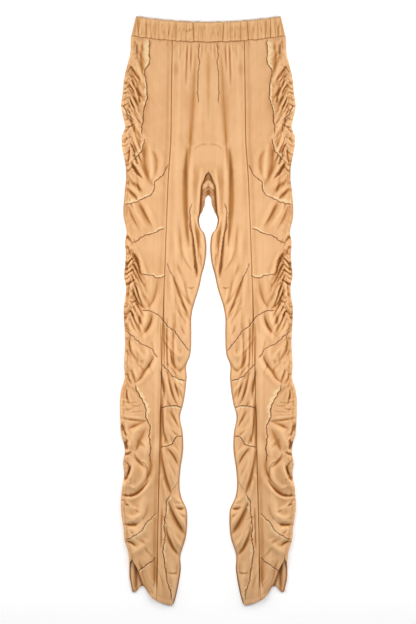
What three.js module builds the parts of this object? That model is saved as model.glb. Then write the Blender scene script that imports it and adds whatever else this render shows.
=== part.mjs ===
// Flare leggings in ruched stretch jersey, laid flat with the front side up.
//
// Millimetres. X runs across the garment and +X is the wearer's left, Y runs along
// the legs with +Y towards the waist, and Z is up from the table that the back lies on.
// The origin is under the middle of the garment.
//
// Both halves are the same shape, so every table below describes one half:
// "d" is the distance from the centre line, and "down" is the distance from the
// highest point of the waistband. The folds are a height added to the front cloth.
import * as THREE from "three";

// Driving sizes
const LENGTH = 1148; // top of the waistband to the tip of the hem
const CLOTH = 1.5; // thickness of a panel's wall
const GAP = 0.3; // between pieces that are sewn together or lie on each other
const GATHER_PITCH = 30; // from one gather of the side seam to the next
const ROW_PITCH = GATHER_PITCH / 2; // a crest and a hollow to each gather
const CLEAR = GAP / 2; // each piece stops this far from its seam line

// Waistband
const BAND_TOP_HALF = 141; // half width along the band's upper edge
const BAND_FOOT_HALF = 150; // half width along its lower edge
const BAND_TOP_SAG = 11; // how far the upper edge dips at the centre
const BAND_DEPTH = 39; // height of the band at the sides
const BAND_FOOT_SAG = 12;
const BAND_WALL = 2.4; // two layers of cloth with elastic between them
const BAND_HEIGHT = 7.6; // from the table to the band's front, between the gathers
const BAND_GATHERS = 34; // gathers across the front of the band
const GATHER_RISE = 1.5; // how far a band gather stands up

// Landmarks, as distances down
const SQUARE_ROWS_FROM = 90; // above this the rows of the mesh follow the band
const FRONT_CROTCH = 302;
const BACK_CROTCH = 348;
const SLIT_TOP = 1058; // the side seam stops here and the flare is open below it

// Edges of one half
const COLUMNS_EDGE = ["down", "d"];
const OUTER_EDGE = table(COLUMNS_EDGE, [
  [42, 151], [74, 152], [97, 158], [120, 163], [155, 167], [179, 169], [214, 162],
  [237, 168], [261, 166], [296, 160], [319, 160], [343, 163], [389, 165], [419, 159],
  [442, 162], [465, 160], [506, 163], [530, 160], [577, 164], [635, 162], [682, 164],
  [705, 163], [729, 170], [752, 172], [811, 170], [846, 162], [869, 166], [893, 164],
  [928, 169], [963, 170], [998, 165], [1021, 163], [1045, 156], [1068, 154], [1115, 153],
  [1148, 148],
]);
const BACK_INNER_EDGE = table(COLUMNS_EDGE, [
  [342, 0], [348, 0], [354, 5], [366, 7], [378, 11], [395, 18], [413, 15], [425, 7],
  [442, 4], [460, 4], [483, 7], [506, 13], [530, 18], [565, 29], [588, 33], [623, 33],
  [659, 35], [682, 43], [705, 42], [752, 48], [781, 55], [811, 50], [846, 49], [881, 54],
  [916, 56], [939, 52], [963, 42], [1004, 42], [1021, 45], [1050, 54], [1080, 54],
  [1127, 62], [1148, 68],
]);
const CROTCH_CURVE = table(COLUMNS_EDGE, [
  [296, 0], [302, 0], [309, 5], [323, 10], [333, 14], [348, 15], [364, 16], [386, 18],
  [395, 20], [413, 15],
]);
const FRONT_SEAM = table(COLUMNS_EDGE, [
  [39, 70], [163, 72], [241, 73], [319, 78], [475, 84], [592, 88], [787, 93], [1041, 99],
  [1148, 101],
]);
// How far the ruched side seam lies in from the outer edge, because the back wraps round
const SIDE_SEAM_INSET = table(COLUMNS_EDGE, [
  [39, 17], [114, 12], [202, 14], [280, 17], [309, 7], [358, 7], [442, 12], [534, 17],
  [612, 7], [748, 7], [855, 9], [894, 9], [943, 7], [1148, 7],
]);
// Front edge of the slit, from its top to the corner of the hem
const SLIT_EDGE = table(COLUMNS_EDGE, [[1030, 148], [1058, 148], [1106, 136], [1148, 128]]);
const FRONT_HEM = table(["d", "down"], [
  [72, 1148], [90, 1143], [101, 1138], [111, 1132], [128, 1107], [137, 1099], [156, 1092],
]);
const BACK_HEM = table(["d", "down"], [
  [66, 1147], [95, 1128], [129, 1110], [144, 1123], [156, 1113],
]);

// Front cloth
const FRONT_REST = 2 * CLOTH + GAP; // the front's upper side where it lies on the back
const PUFF = 2.4; // how far the front stands off the back between the folds
const SIDE_RISE = 3.2; // extra height beside the ruched side seam
const SIDE_RISE_REACH = 16;
const SEAM_RIDGE = 1.1; // the felled seam down the front of each leg
const SEAM_RIDGE_REACH = 5;
const INNER_ROLL = 6; // radius of the front's fold at the inside of the leg
const OUTER_ROLL = 5; // radius of the back's fold at the outside of the leg
const GATHER_REACH = 15; // how far a side gather runs in from its seam
const GATHER_SLANT = 0.7; // gathers run down as they run in
const GATHER_HEIGHT = table(["down", "height"], [
  [42, 0.3], [110, 1.5], [160, 2.0], [290, 2.0], [330, 0.9], [400, 0.6], [440, 1.2],
  [480, 2.0], [620, 2.0], [700, 1.1], [760, 1.4], [880, 0.9], [1000, 0.7], [1040, 0],
  [1148, 0],
]);

// The largest folds. Each starts, bends and ends at a place (d, down); a plus height is
// a ridge and a minus height is a hollow.
const FOLDS = table(
  ["fromD", "fromDown", "viaD", "viaDown", "toD", "toDown", "width", "height"],
  [
    [22, 58, 40, 183, 43, 290, 10, -2.0], // hollow beside the centre front
    [43, 261, 45, 368, 30, 448, 8, -3.2], // hollow down the inner thigh
    [53, 50, 63, 222, 61, 456, 12, 2.2], // ridge between that hollow and the seam
    [0, 50, 0, 124, 0, 198, 10, -1.6], // hollow on the centre front seam
    [22, 401, 10, 448, 22, 504, 9, 4.2], // flap of the inner thigh
    [106, 237, 92, 280, 112, 331, 8, -2.0], // hip
    [123, 265, 125, 308, 108, 331, 8, -2.4],
    [153, 116, 131, 140, 120, 175, 9, 3.2],
    [155, 187, 145, 210, 131, 241, 8, -2.6],
    [151, 171, 129, 210, 121, 253, 8, 2.8],
    [143, 46, 135, 75, 127, 114, 8, -2.2],
    [131, 370, 121, 386, 110, 411, 8, -2.6], // thigh
    [147, 366, 136, 388, 124, 415, 8, 2.6],
    [147, 448, 139, 479, 127, 508, 8, -2.4], // knee
    [141, 479, 135, 522, 112, 553, 9, 3.0],
    [121, 514, 118, 565, 104, 545, 8, -2.2],
    [155, 575, 147, 602, 131, 620, 8, -2.6], // shin
    [145, 577, 133, 596, 120, 577, 9, 3.2],
    [131, 620, 116, 612, 112, 577, 8, -2.2],
    [153, 631, 147, 674, 137, 705, 8, -2.6], // calf
    [137, 651, 131, 674, 120, 655, 9, 3.0],
    [162, 746, 145, 754, 125, 748, 7, -2.2],
    [157, 811, 137, 803, 116, 787, 8, -2.4],
    [159, 826, 149, 846, 133, 850, 8, -2.4], // ankle
    [159, 846, 153, 881, 164, 920, 8, -3.0],
    [114, 877, 120, 920, 160, 930, 9, 4.2],
    [162, 992, 131, 998, 102, 965, 8, -2.4], // outer flare
    [151, 1045, 133, 1037, 112, 1013, 10, 2.0],
    [77, 479, 55, 534, 36, 588, 8, -2.4], // inside of the knee
    [69, 467, 47, 518, 32, 557, 9, 2.6],
    [75, 627, 60, 690, 42, 666, 8, -2.4], // inside of the shin
    [69, 631, 57, 662, 49, 643, 9, 2.8],
    [53, 766, 71, 791, 88, 818, 8, -2.4], // inside of the calf
    [51, 779, 67, 807, 82, 830, 8, 2.4],
    [90, 896, 79, 949, 50, 952, 8, -2.8], // inside of the ankle
    [79, 885, 67, 932, 42, 943, 9, 3.4],
    [77, 951, 65, 1002, 46, 1012, 8, -3.2], // inner flare
    [63, 955, 53, 986, 42, 998, 9, 4.0],
    [82, 990, 75, 1039, 58, 1050, 8, -3.2],
    [71, 990, 59, 1031, 50, 1037, 9, 3.6],
    [75, 1060, 67, 1099, 66, 1138, 9, 1.8],
  ],
);
const FOLD_STEPS = 8; // straight steps that a fold's curve is measured along

// Columns of each panel's mesh
const SIDE_COLUMNS = 6;
const FRONT_COLUMNS = 5;
const ROLL_STEPS = 3;
const WRAP_STEPS = 4;
const BAND_STEPS_PER_GATHER = 4;
const BACK_COLUMNS = 2; // across the flat of the back, from the centre to the outer roll
const BAND_END_STEPS = 5;
const BAND_ROWS = 3;

const CLOTH_FRONT = new THREE.MeshStandardMaterial({ color: 0xecb886, roughness: 0.55, metalness: 0 });
const CLOTH_BACK = new THREE.MeshStandardMaterial({ color: 0xe2ad79, roughness: 0.55, metalness: 0 });
const ELASTIC_BAND = new THREE.MeshStandardMaterial({ color: 0xe1ad78, roughness: 0.65, metalness: 0 });

function table(columns, rows) {
  return rows.map((row) => Object.fromEntries(columns.map((column, i) => [column, row[i]])));
}

const mix = (a, b, t) => a + (b - a) * t;
const clamp01 = (t) => Math.min(1, Math.max(0, t));
const ease = (from, to, x) => {
  const t = clamp01((x - from) / (to - from));
  return t * t * (3 - 2 * t);
};

// A smooth curve through a table's rows, read at x
function read(rows, x, key = "down", value = "d") {
  const last = rows.length - 1;
  if (x <= rows[0][key]) return rows[0][value];
  if (x >= rows[last][key]) return rows[last][value];
  const i = rows.findIndex((row) => row[key] > x) - 1;
  const slope = (k) => {
    const a = rows[Math.max(0, k - 1)];
    const b = rows[Math.min(last, k + 1)];
    return (b[value] - a[value]) / (b[key] - a[key]);
  };
  const a = rows[i];
  const b = rows[i + 1];
  const span = b[key] - a[key];
  const t = (x - a[key]) / span;
  const t2 = t * t;
  const t3 = t2 * t;
  return (2 * t3 - 3 * t2 + 1) * a[value] + (t3 - 2 * t2 + t) * span * slope(i)
    + (3 * t2 - 2 * t3) * b[value] + (t3 - t2) * span * slope(i + 1);
}

// Edges of a half at a row, named by how far down the row nominally is
const outerEdge = (row) => read(OUTER_EDGE, row);
const seamEdge = (row) => read(FRONT_SEAM, row);
const sideSeam = (row) => outerEdge(row) - read(SIDE_SEAM_INSET, row);
const backInner = (row) => Math.max(CLEAR, read(BACK_INNER_EDGE, row));
const frontInner = (row) => {
  const onBack = row < BACK_CROTCH ? 0 : read(BACK_INNER_EDGE, row) + 2;
  return Math.max(CLEAR, read(CROTCH_CURVE, row) * (row < 413 ? 1 : 0), row < 395 ? 0 : onBack);
};
const frontOuter = (row) => (row < SLIT_TOP ? sideSeam(row) - CLEAR : read(SLIT_EDGE, row));

// Where a row really is at d: rows follow the band at the top and the hem at the bottom
const bandFoot = (d) => BAND_DEPTH + BAND_FOOT_SAG * (1 - (d / BAND_FOOT_HALF) ** 2);
const bandTop = (d) => BAND_TOP_SAG * (1 - (d / BAND_TOP_HALF) ** 2);
const frontHem = (d) => read(FRONT_HEM, d, "d", "down");
const backHem = (d) => read(BACK_HEM, d, "d", "down");
function downAt(row, d, hem) {
  if (row < SQUARE_ROWS_FROM) {
    const share = (row - BAND_DEPTH) / (SQUARE_ROWS_FROM - BAND_DEPTH);
    return mix(bandFoot(d) + CLEAR, SQUARE_ROWS_FROM, share);
  }
  if (row <= SLIT_TOP) return row;
  return mix(SLIT_TOP, hem(d), (row - SLIT_TOP) / (LENGTH - SLIT_TOP));
}

// Each fold's curve as short straight steps, worked out once
const FOLD_LINES = FOLDS.map((fold) => {
  const points = [];
  for (let i = 0; i <= FOLD_STEPS; i++) {
    const t = i / FOLD_STEPS;
    const [a, b, c] = [(1 - t) ** 2, 2 * t * (1 - t), t * t];
    points.push([
      a * fold.fromD + b * fold.viaD + c * fold.toD,
      a * fold.fromDown + b * fold.viaDown + c * fold.toDown,
    ]);
  }
  return { ...fold, points };
});

// A fold is full height along its middle and fades out at its ends and sides
function foldHeight(line, d, down) {
  let nearest = Infinity;
  let along = 0;
  for (let i = 0; i < FOLD_STEPS; i++) {
    const [ax, ay] = line.points[i];
    const [bx, by] = line.points[i + 1];
    const [ux, uy] = [bx - ax, by - ay];
    const t = clamp01(((d - ax) * ux + (down - ay) * uy) / (ux * ux + uy * uy));
    const away = Math.hypot(d - ax - t * ux, down - ay - t * uy);
    if (away < nearest) {
      nearest = away;
      along = (i + t) / FOLD_STEPS;
    }
  }
  return line.height * Math.sin(Math.PI * clamp01(along * 0.9 + 0.05)) * Math.exp(-((nearest / line.width) ** 2));
}

// Gathers along the side seam, "inward" millimetres in from it
function gatherHeight(down, inward) {
  const phase = (down - BAND_DEPTH - GATHER_SLANT * inward) / GATHER_PITCH;
  const uneven = 0.85 + 0.3 * Math.sin(2.4 * Math.round(phase)) * Math.sin(0.9 * phase);
  const height = uneven * read(GATHER_HEIGHT, down, "down", "height");
  return height * Math.exp(-Math.max(0, inward) / GATHER_REACH) * Math.cos(2 * Math.PI * phase);
}

// Upper side of the front cloth above the table
function frontHeight(d, down) {
  const inward = sideSeam(down) - d;
  let rise = PUFF + SIDE_RISE * Math.exp(-((inward / SIDE_RISE_REACH) ** 2));
  rise += SEAM_RIDGE * Math.exp(-(((d - seamEdge(down)) / SEAM_RIDGE_REACH) ** 2));
  rise += gatherHeight(down, inward);
  for (const line of FOLD_LINES) rise += foldHeight(line, d, down);
  return FRONT_REST + (rise + Math.hypot(rise, 1)) / 2;
}

// Rows of the mesh, from the waistband to the hem
const ROWS = Math.round((LENGTH - BAND_DEPTH) / ROW_PITCH);
const rowAt = (i) => mix(BAND_DEPTH, LENGTH, i / ROWS);

// Turns a grid of points into one closed wall. at(i, j) gives the outer point and the
// direction into the cloth; the far side of the wall is one thickness along it.
function wall(name, rows, columns, thickness, material, at, round = false) {
  const near = [];
  const far = [];
  const width = round ? columns : columns + 1;
  for (let i = 0; i <= rows; i++) {
    for (let j = 0; j < width; j++) {
      const { point, inward } = at(i, j);
      near.push(...point);
      far.push(...point.map((value, k) => value + inward[k] * thickness));
    }
  }
  const count = near.length / 3;
  const index = (i, j) => i * width + (j % width);
  const faces = [];
  const quad = (a, b, c, d) => faces.push(a, b, c, a, c, d);
  for (let i = 0; i < rows; i++) {
    for (let j = 0; j < columns; j++) {
      const [a, b, c, d] = [index(i, j), index(i, j + 1), index(i + 1, j + 1), index(i + 1, j)];
      quad(a, b, c, d);
      quad(count + d, count + c, count + b, count + a);
    }
  }
  for (let j = 0; j < columns; j++) {
    quad(index(0, j + 1), index(0, j), count + index(0, j), count + index(0, j + 1));
    quad(index(rows, j), index(rows, j + 1), count + index(rows, j + 1), count + index(rows, j));
  }
  for (let i = 0; i < rows && !round; i++) {
    quad(index(i, 0), index(i + 1, 0), count + index(i + 1, 0), count + index(i, 0));
    const end = [index(i + 1, columns), index(i, columns)];
    quad(end[0], end[1], count + end[1], count + end[0]);
  }
  const positions = [...near, ...far];
  if (signedVolume(positions, faces) < 0) faces.reverse();
  const geometry = new THREE.BufferGeometry();
  geometry.setAttribute("position", new THREE.Float32BufferAttribute(positions, 3));
  geometry.setIndex(faces);
  geometry.computeVertexNormals();
  const mesh = new THREE.Mesh(geometry, material);
  mesh.name = name;
  return mesh;
}

function signedVolume(positions, faces) {
  const point = (i) => new THREE.Vector3().fromArray(positions, faces[i] * 3);
  let sum = 0;
  for (let i = 0; i < faces.length; i += 3) {
    sum += point(i).dot(point(i + 1).cross(point(i + 2)));
  }
  return sum / 6;
}

// Places a half's point in the garment: side is 1 for the wearer's left and -1 for the right
const place = (side, d, down, z) => [side * d, LENGTH / 2 - down, z];

// Front of the leg from the ruched side seam to the felled seam
function frontSide(name, side) {
  return wall(name, ROWS, SIDE_COLUMNS, CLOTH, CLOTH_FRONT, (i, j) => {
    const row = rowAt(i);
    const d = mix(frontOuter(row), seamEdge(row) + CLEAR, j / SIDE_COLUMNS);
    const down = downAt(row, d, frontHem);
    return { point: place(side, d, down, frontHeight(d, down)), inward: [0, 0, -1] };
  });
}

// Front of the leg from the felled seam to the centre front and the inside of the leg,
// where it rolls down onto the back
function frontCentre(name, side) {
  const columns = FRONT_COLUMNS + ROLL_STEPS;
  return wall(name, ROWS, columns, CLOTH, CLOTH_FRONT, (i, j) => {
    const row = rowAt(i);
    const fall = ease(FRONT_CROTCH, FRONT_CROTCH + 24, row);
    const roll = mix(0.6, INNER_ROLL, fall);
    const edge = frontInner(row);
    const turn = Math.max(0, j - FRONT_COLUMNS) / ROLL_STEPS * Math.PI / 2;
    const flat = mix(seamEdge(row) - CLEAR, edge + roll, Math.min(1, j / FRONT_COLUMNS));
    const d = flat - roll * Math.sin(turn);
    const down = downAt(row, d, frontHem);
    const top = frontHeight(d, down);
    const z = mix(top, CLOTH + GAP, fall * (1 - Math.cos(turn)));
    const lean = turn * fall;
    return { point: place(side, d, down, z), inward: [side * Math.sin(lean), 0, -Math.cos(lean)] };
  });
}

// Back of the leg: flat on the table, wrapped over the outer edge and up to the side
// seam. Below the top of the slit it unrolls and ends in a free edge.
function back(name, side) {
  const arcEnd = BACK_COLUMNS + WRAP_STEPS;
  return wall(name, ROWS, arcEnd + 1, CLOTH, CLOTH_BACK, (i, j) => {
    const row = rowAt(i);
    const seam = sideSeam(row);
    const wrap = mix(1, 0.3, ease(SLIT_TOP - 16, SLIT_TOP + 34, row));
    const height = frontHeight(seam, Math.min(row, SLIT_TOP)) / 2;
    const share = clamp01((j - BACK_COLUMNS) / WRAP_STEPS);
    const angle = j < BACK_COLUMNS ? -Math.PI / 2 : Math.PI * (share * wrap - 0.5);
    const ruche = gatherHeight(row, 0) * ease(-0.5, 0.5, angle);
    const centre = outerEdge(row) - OUTER_ROLL * (wrap < 0.5 ? Math.sin(Math.PI * wrap) : 1);
    let d = centre + (OUTER_ROLL + ruche) * Math.cos(angle);
    let z = height + (height + ruche) * Math.sin(angle);
    if (j < BACK_COLUMNS) d = mix(backInner(row), centre, j / BACK_COLUMNS);
    if (j > arcEnd) {
      const strip = ease(0.6, 1, wrap);
      d = mix(d - Math.sin(angle), seam + CLEAR, strip);
      z = mix(z + Math.cos(angle), frontHeight(seam, row), strip);
    }
    return {
      point: place(side, d, downAt(row, d, backHem), z),
      inward: [-side * Math.cos(angle), 0, -Math.sin(angle)],
    };
  });
}

// The waistband's section: along the front from one end to the other with its gathers,
// round the end, back along the table in the same steps as the back panels, and round
// the other end. Each entry is a share of the straight part, an angle and a rise.
function bandSection() {
  const section = [];
  const front = BAND_GATHERS * BAND_STEPS_PER_GATHER;
  for (let i = 0; i < front; i++) {
    const wander = 0.9 * Math.sin(0.37 * i);
    const crest = Math.cos((2 * Math.PI * (i + wander)) / BAND_STEPS_PER_GATHER);
    const fade = ease(0, 6, Math.min(i, front - i)) * (0.75 + 0.25 * Math.sin(0.53 * i));
    section.push({ share: (2 * i) / front - 1, angle: Math.PI / 2, rise: fade * GATHER_RISE * (1 + crest) });
  }
  for (const [end, from] of [[1, 0.5], [-1, -0.5]]) {
    for (let i = 0; i < BAND_END_STEPS; i++) {
      section.push({ share: end, angle: Math.PI * (from - i / BAND_END_STEPS), rise: 0 });
    }
    for (let i = 0; i < 2 * BACK_COLUMNS && end > 0; i++) {
      section.push({ share: 1 - i / BACK_COLUMNS, angle: -Math.PI / 2, rise: 0 });
    }
  }
  return section;
}

// The elastic waistband: one loop of gathered cloth
function waistband(name) {
  const section = bandSection();
  const radius = BAND_HEIGHT / 2;
  return wall(name, BAND_ROWS, section.length, BAND_WALL, ELASTIC_BAND, (i, j) => {
    const { share, angle, rise } = section[j];
    const half = mix(BAND_TOP_HALF, BAND_FOOT_HALF, i / BAND_ROWS) - radius;
    const across = share * half + radius * Math.cos(angle);
    const d = Math.abs(across);
    const down = mix(bandTop(d), bandFoot(d) - CLEAR, i / BAND_ROWS);
    return {
      point: [across, LENGTH / 2 - down, radius + radius * Math.sin(angle) + rise],
      inward: [-Math.cos(angle), 0, -Math.sin(angle)],
    };
  }, true);
}

const leggings = new THREE.Group();
leggings.add(waistband("waistband"));
for (const [hand, side] of [["left", 1], ["right", -1]]) {
  leggings.add(frontCentre(`front_centre_${hand}`, side));
  leggings.add(frontSide(`front_side_${hand}`, side));
  leggings.add(back(`back_${hand}`, side));
}

export default leggings;
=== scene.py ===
# %% [markdown]
# # Flare leggings laid flat
# The object is a pair of full-length leggings in stretch jersey, laid on its back with
# the front side up. The cloth is nude, with a printed net of thin dark veins that each
# have a pale glow on one side. A gathered elastic waistband closes the top, one felled
# seam runs down the front of each leg, and the side seams are ruched.
# Each sewn panel is made as a grid whose points are moved onto the garment's form, then
# given its thickness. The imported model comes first: it fixes every place and size.

# %% Load the frame
import math
import random
import bmesh
import bpy
import numpy as np
from mathutils import Matrix, Vector


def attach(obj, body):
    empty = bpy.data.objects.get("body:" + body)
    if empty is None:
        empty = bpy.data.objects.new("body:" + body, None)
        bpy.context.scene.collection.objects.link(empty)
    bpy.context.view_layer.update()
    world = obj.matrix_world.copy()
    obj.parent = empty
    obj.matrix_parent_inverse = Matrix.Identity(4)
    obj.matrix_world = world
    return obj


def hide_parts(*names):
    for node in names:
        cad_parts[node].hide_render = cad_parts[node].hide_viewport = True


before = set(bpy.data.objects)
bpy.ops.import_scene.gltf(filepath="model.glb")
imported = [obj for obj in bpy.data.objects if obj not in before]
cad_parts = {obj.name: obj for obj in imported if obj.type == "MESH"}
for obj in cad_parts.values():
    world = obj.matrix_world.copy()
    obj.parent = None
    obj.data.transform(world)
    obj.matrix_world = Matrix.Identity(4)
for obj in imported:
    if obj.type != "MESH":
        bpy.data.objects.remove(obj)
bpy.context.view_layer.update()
print("nodes:", sorted(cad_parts))


def put(name, data):
    thing = bpy.data.objects.new(name, data)
    bpy.context.collection.objects.link(thing)
    return thing


# %% [markdown]
# ## The camera
# The photo looks straight down on the garment from far away. A long lens high above
# gives the same nearly parallel view. The frame is 416 by 624 pixels and one pixel is
# 1.95 mm of cloth, so its height and the lens set how high the camera stands. The
# garment's middle is a little off the frame's, and the camera moves by as much.

# %% Place the camera
PIXEL = 1.95 / 1000
FRAME_HEIGHT = 624 * PIXEL
LENS, SENSOR = 85.0, 24.0
AIM_X, AIM_Y = -0.3, -1.3  # pixels from the garment's middle to where the camera looks

camera_data = bpy.data.cameras.new("camera")
camera_data.sensor_fit = "VERTICAL"
camera_data.sensor_height = SENSOR
camera_data.lens = LENS
camera_data.clip_end = 50
camera = put("camera", camera_data)
camera.location = (AIM_X * PIXEL, AIM_Y * PIXEL, FRAME_HEIGHT * LENS / SENSOR)
bpy.context.scene.camera = camera
print("camera height:", round(camera.location.z, 3))

# %% [markdown]
# ## Sizes and edges
# These are the garment's own sizes in millimetres, the same as in the part's source.
# Both halves are alike, so a place is given as "d", the distance from the centre line,
# and "down", the distance from the highest point of the waistband. The rows of the edge
# tables were measured on the photo and converted at 1.95 mm for each pixel.

# %% Sizes of the garment
LENGTH = 1148.0
CLOTH, GAP = 1.5, 0.3
CLEAR = 0.03  # the shells meet closer at a seam than the solids do
SHEET = 1.0  # thickness of the shell that shows
BAND_TOP_HALF, BAND_FOOT_HALF = 141.0, 150.0
BAND_TOP_SAG, BAND_DEPTH, BAND_FOOT_SAG = 11.0, 39.0, 12.0
BAND_WALL, BAND_HEIGHT = 2.4, 7.6
SQUARE_ROWS_FROM = 90.0
FRONT_CROTCH, SLIT_TOP = 302.0, 1058.0
CROTCH_CURVE_FOOT, LEG_EDGE_FROM = 413, 395  # rows where the front's inner edge changes over
INNER_ROLL, OUTER_ROLL = 6.0, 5.0
HANDS = (("left", 1), ("right", -1))
FELL, HEM_FOLD = 8.2, 9.5  # from the seam line, and from the hem, to the row of stitches

OUTER_EDGE = [
    (42, 151), (74, 152), (97, 158), (120, 163), (155, 167), (179, 169), (214, 162),
    (237, 168), (261, 166), (296, 160), (319, 160), (343, 163), (389, 165), (419, 159),
    (442, 162), (465, 160), (506, 163), (530, 160), (577, 164), (635, 162), (682, 164),
    (705, 163), (729, 170), (752, 172), (811, 170), (846, 162), (869, 166), (893, 164),
    (928, 169), (963, 170), (998, 165), (1021, 163), (1045, 156), (1068, 154),
    (1115, 153), (1148, 148)]
BACK_INNER_EDGE = [
    (342, 0), (348, 0), (354, 5), (366, 7), (378, 11), (395, 18), (413, 15), (425, 7),
    (442, 4), (460, 4), (483, 7), (506, 13), (530, 18), (565, 29), (588, 33), (623, 33),
    (659, 35), (682, 43), (705, 42), (752, 48), (781, 55), (811, 50), (846, 49),
    (881, 54), (916, 56), (939, 52), (963, 42), (1004, 42), (1021, 45), (1050, 54),
    (1080, 54), (1127, 62), (1148, 68)]
CROTCH_CURVE = [
    (296, 0), (302, 0), (309, 5), (323, 10), (333, 14), (348, 15), (364, 16), (386, 18),
    (395, 20), (413, 15)]
FRONT_SEAM = [
    (39, 70), (163, 72), (241, 73), (319, 78), (475, 84), (592, 88), (787, 93),
    (1041, 99), (1148, 101)]
SIDE_SEAM_INSET = [
    (39, 17), (114, 12), (202, 14), (280, 17), (309, 7), (358, 7), (442, 12), (534, 17),
    (612, 7), (748, 7), (855, 9), (894, 9), (943, 7), (1148, 7)]
SLIT_EDGE = [(1030, 148), (1058, 148), (1106, 136), (1148, 128)]
FRONT_HEM = [
    (72, 1148), (90, 1143), (101, 1138), (111, 1132), (128, 1107), (137, 1099),
    (156, 1092)]
BACK_HEM = [(66, 1147), (95, 1128), (129, 1110), (144, 1123), (156, 1113)]

# %% [markdown]
# A table's rows are joined by a smooth curve, so a few rows give a whole edge. The
# edges below are read from the tables in the same way for every panel, which keeps
# the seams together. "ease" steps softly from 0 to 1 between two values, "mix" blends,
# and "bell" is a soft bump of height 1.

# %% Read a smooth curve through a table
def read(rows, x):
    xs, ys = np.asarray(rows, float).T
    slope = np.gradient(ys) / np.gradient(xs)
    x = np.clip(np.asarray(x, float), xs[0], xs[-1])
    i = np.clip(np.searchsorted(xs, x, side="right") - 1, 0, len(xs) - 2)
    span = xs[i + 1] - xs[i]
    t = (x - xs[i]) / span
    return ((2 * t**3 - 3 * t**2 + 1) * ys[i] + (t**3 - 2 * t**2 + t) * span * slope[i]
            + (3 * t**2 - 2 * t**3) * ys[i + 1] + (t**3 - t**2) * span * slope[i + 1])


def ease(low, high, x):
    t = np.clip((x - low) / (high - low), 0, 1)
    return t * t * (3 - 2 * t)


def mix(a, b, t):
    return a + (b - a) * t


def bell(x, width, power=2):
    return np.exp(-((x / width) ** power))


# %% The edges of one half
def outer_edge(row):
    return read(OUTER_EDGE, row)


def front_seam(row):
    return read(FRONT_SEAM, row)


def side_seam(row):
    return outer_edge(row) - read(SIDE_SEAM_INSET, row)


def back_inner(row):
    return np.maximum(CLEAR, read(BACK_INNER_EDGE, row))


def front_inner(row):
    crotch = np.where(row < CROTCH_CURVE_FOOT, read(CROTCH_CURVE, row), 0)
    on_back = np.where(row < LEG_EDGE_FROM, 0, read(BACK_INNER_EDGE, row) + 2)
    return np.maximum(CLEAR, np.maximum(crotch, on_back))


def front_outer(row):
    return np.where(row < SLIT_TOP, side_seam(row) - CLEAR, read(SLIT_EDGE, row))


def band_foot(d):
    bumps = 0.5 * np.sin(d / 2.3 + 1.5 * np.sin(d / 9)) + 0.4 * np.sin(d / 5.1 + 1)
    return BAND_DEPTH + BAND_FOOT_SAG * (1 - (d / BAND_FOOT_HALF) ** 2) + bumps


def band_top(d):
    return BAND_TOP_SAG * (1 - (d / BAND_TOP_HALF) ** 2)


def down_at(row, d, hem):
    under_band = mix(band_foot(d) + CLEAR, SQUARE_ROWS_FROM,
                     (row - BAND_DEPTH) / (SQUARE_ROWS_FROM - BAND_DEPTH))
    flare = mix(SLIT_TOP, read(hem, d), (row - SLIT_TOP) / (LENGTH - SLIT_TOP))
    return np.where(row < SQUARE_ROWS_FROM, under_band, np.where(row > SLIT_TOP, flare, row))


# %% [markdown]
# ## Folds
# Stretch jersey laid on a table keeps soft drapes where the side seams pull it short:
# shallow U shapes that hang between the side seam and the front seam, and long
# diagonal folds on the inner leg. Each one is a curve with a start, a bend and an end.
# A ridge has a round top, and a trough has a sharper bottom, as a real crease does.

# %% The main folds, as start, middle, end, width and height
HIP_FOLDS = [
    (25, 80, 31, 190, 37, 300, 8, -3.0), (53, 50, 60, 222, 61, 456, 11, 2.4),
    (0, 60, 0, 124, 0, 198, 8, -1.4), (30, 264, 18, 252, 2, 250, 2.4, -0.8),
    (129, 42, 131, 78, 127, 116, 6.5, -2.7), (151, 62, 147, 80, 139, 97, 7, 3.2),
    (152, 96, 148, 102, 143, 112, 3, -2.4),
    (143, 44, 140, 58, 139, 74, 3.5, -3.2), (151, 54, 147, 66, 145, 76, 4, 2.2),
    (155, 92, 145, 116, 130, 150, 7, -2.8), (139, 92, 133, 108, 126, 128, 5, 2.6),
    (141, 138, 135, 149, 127, 161, 4, -3.6),
    (156, 130, 148, 141, 141, 154, 3, -3.4), (139, 158, 135, 163, 131, 170, 4, -2.8),
    (159, 142, 144, 176, 130, 216, 6, 3.4), (163, 190, 151, 202, 133, 229, 3, -4.2),
    (149, 192, 140, 210, 130, 232, 4, 2.8), (139, 219, 135, 234, 129, 250, 4, -3.0),
    (151, 248, 154, 270, 156, 294, 3, -3.2), (148, 252, 145, 262, 141, 274, 3, -3.0),
    (149, 283, 143, 300, 132, 323, 4, -4.4), (141, 278, 134, 296, 124, 318, 5, 2.4),
    (123, 248, 122, 298, 105, 331, 6, -3.0), (112, 262, 100, 282, 107, 318, 5, -1.6),
    (116, 252, 110, 290, 113, 318, 5, 2.2), (159, 278, 160, 296, 158, 316, 3, -2.6),
    (148, 322, 138, 330, 128, 342, 6, -2.8), (157, 335, 147, 345, 136, 357, 4.5, -2.6),
    (152, 328, 142, 340, 130, 350, 5, 2.0),
]
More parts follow.
